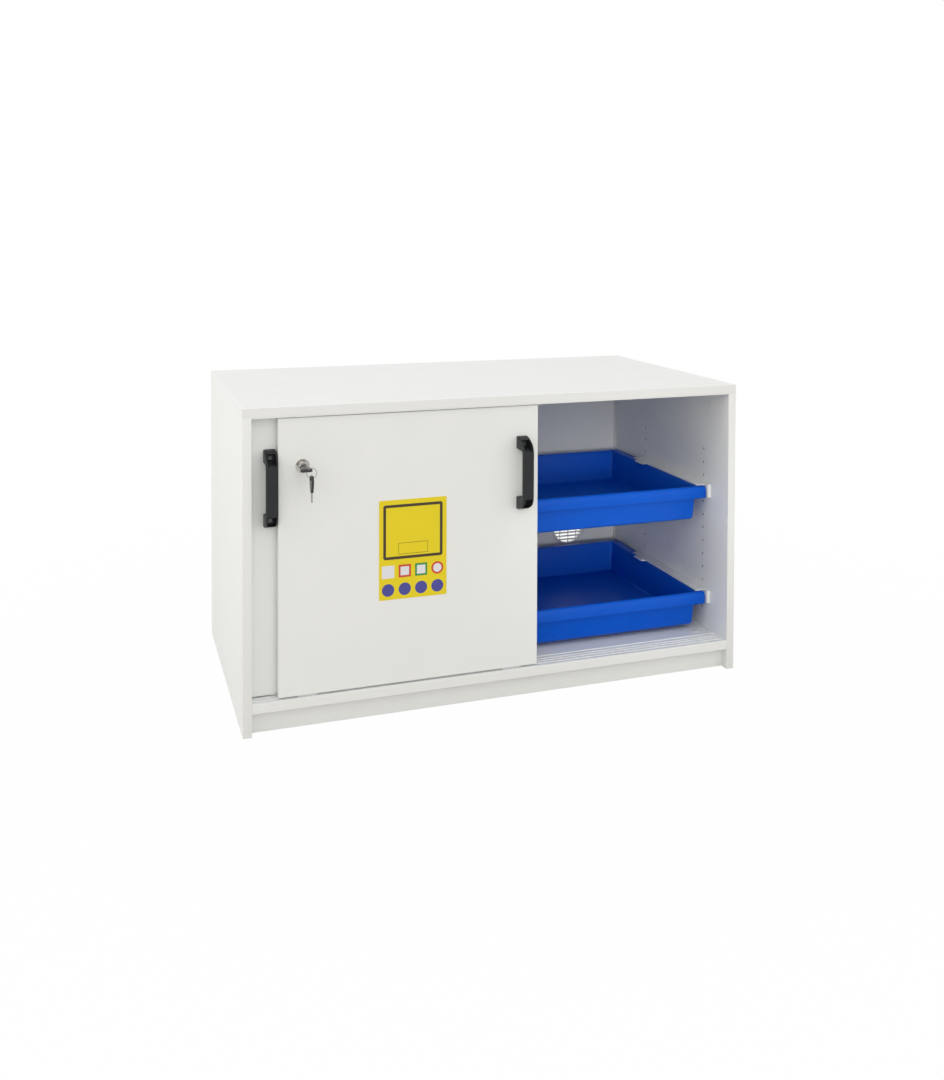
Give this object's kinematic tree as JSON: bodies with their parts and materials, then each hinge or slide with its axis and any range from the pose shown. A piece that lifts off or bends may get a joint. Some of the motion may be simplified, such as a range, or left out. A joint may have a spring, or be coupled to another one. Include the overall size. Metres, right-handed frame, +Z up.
{
  "type": "corrosive storage cabinet",
  "caption": "Low white cabinet with overlapping sliding doors, push lock with keys, and blue pull-out retention trays on white rails.",
  "frame": {"origin": "on the floor under the middle of the whole object's box, which reaches from the hanging spare key in front to the rear edges of the panels", "axes": "+X to the right as seen from the front, +Y from the doors towards the back panel, +Z up"},
  "size_m": [1.14, 0.6722, 0.67],
  "materials": {
    "white_board": "melamine faced chipboard, fine satin",
    "back_board": "melamine faced board, fine satin",
    "white_plastic": "moulded or extruded plastic, satin",
    "blue_tray": "formed polypropylene, half gloss",
    "anthracite": "moulded nylon, satin",
    "lock_chrome": "plated zinc, polished",
    "nickel_steel": "nickel plated, half bright",
    "zinc_steel": "zinc plated steel, half bright",
    "cast_zinc": "die cast zinc, dull",
    "black_head": "moulded plastic, satin"
  },
  "bodies": {
    "root": {"adjustable_shelf": "white_board", "back_panel": "back_board", "bottom_panel": "white_board", "bottom_track": "white_plastic", "cam_bolts": "zinc_steel", "cam_caps": "white_plastic", "cam_housings": "cast_zinc", "centre_partition": "white_board", "left_side_panel": "white_board", "left_vent_grille": "white_plastic", "lower_left_rail": "white_plastic", "lower_right_rail": "white_plastic", "plinth_board": "white_board", "right_side_panel": "white_board", "right_vent_grille": "white_plastic", "shelf_pins": "zinc_steel", "top_panel": "white_board", "top_track": "white_plastic", "upper_left_rail": "white_plastic", "upper_right_rail": "white_plastic"},
    "front_door": {"front_door": "white_board", "front_door_glides": "white_plastic", "front_handle": "anthracite", "front_handle_screws": "zinc_steel", "lock_housing": "lock_chrome"},
    "rear_door": {"rear_door": "white_board", "rear_door_glides": "white_plastic", "rear_handle": "anthracite", "rear_handle_screws": "zinc_steel", "strike_plate": "zinc_steel", "strike_screws": "zinc_steel"},
    "upper_tray": {"upper_tray": "blue_tray"},
    "lower_tray": {"lower_tray": "blue_tray"},
    "lock_plunger": {"lock_plunger": "lock_chrome"},
    "lock_key": {"lock_core": "nickel_steel", "key_head": "black_head", "key_blade": "nickel_steel"},
    "key_ring": {"key_ring": "nickel_steel"},
    "spare_key": {"spare_key_head": "black_head", "spare_key_blade": "nickel_steel"}
  },
  "joints": [
    {"name": "front_door_slide", "type": "slide", "parent": "root", "child": "front_door", "axis": [1, 0, 0], "range_m": [0, 0.4765]},
    {"name": "rear_door_slide", "type": "slide", "parent": "root", "child": "rear_door", "axis": [1, 0, 0], "range_m": [0, 0.0016]},
    {"name": "upper_tray_slide", "type": "slide", "parent": "root", "child": "upper_tray", "axis": [0, 1, 0], "range_m": [-0.3, 0]},
    {"name": "lower_tray_slide", "type": "slide", "parent": "root", "child": "lower_tray", "axis": [0, 1, 0], "range_m": [-0.3, 0]},
    {"name": "lock_plunger_slide", "type": "slide", "parent": "front_door", "child": "lock_plunger", "axis": [0, 1, 0], "range_m": [0, 0.0095]},
    {"name": "key_turn", "type": "hinge", "parent": "lock_plunger", "child": "lock_key", "pos_m": [-0.447, -0.27787, 0.546], "axis": [0, 1, 0], "range_deg": [0, 90]},
    {"name": "ring_turn", "type": "hinge", "parent": "lock_key", "child": "key_ring", "pos_m": [-0.43675, -0.32412, 0.546], "axis": [0, 1, 0], "range_deg": [-90, 0]},
    {"name": "spare_key_swing", "type": "hinge", "parent": "key_ring", "child": "spare_key", "pos_m": [-0.43675, -0.32412, 0.5296], "axis": [1, 0, 0], "range_deg": [-25, 25]}
  ],
  "couplings": [
    {"joint": "ring_turn", "follows": "key_turn", "ratio": -1}
  ]
}
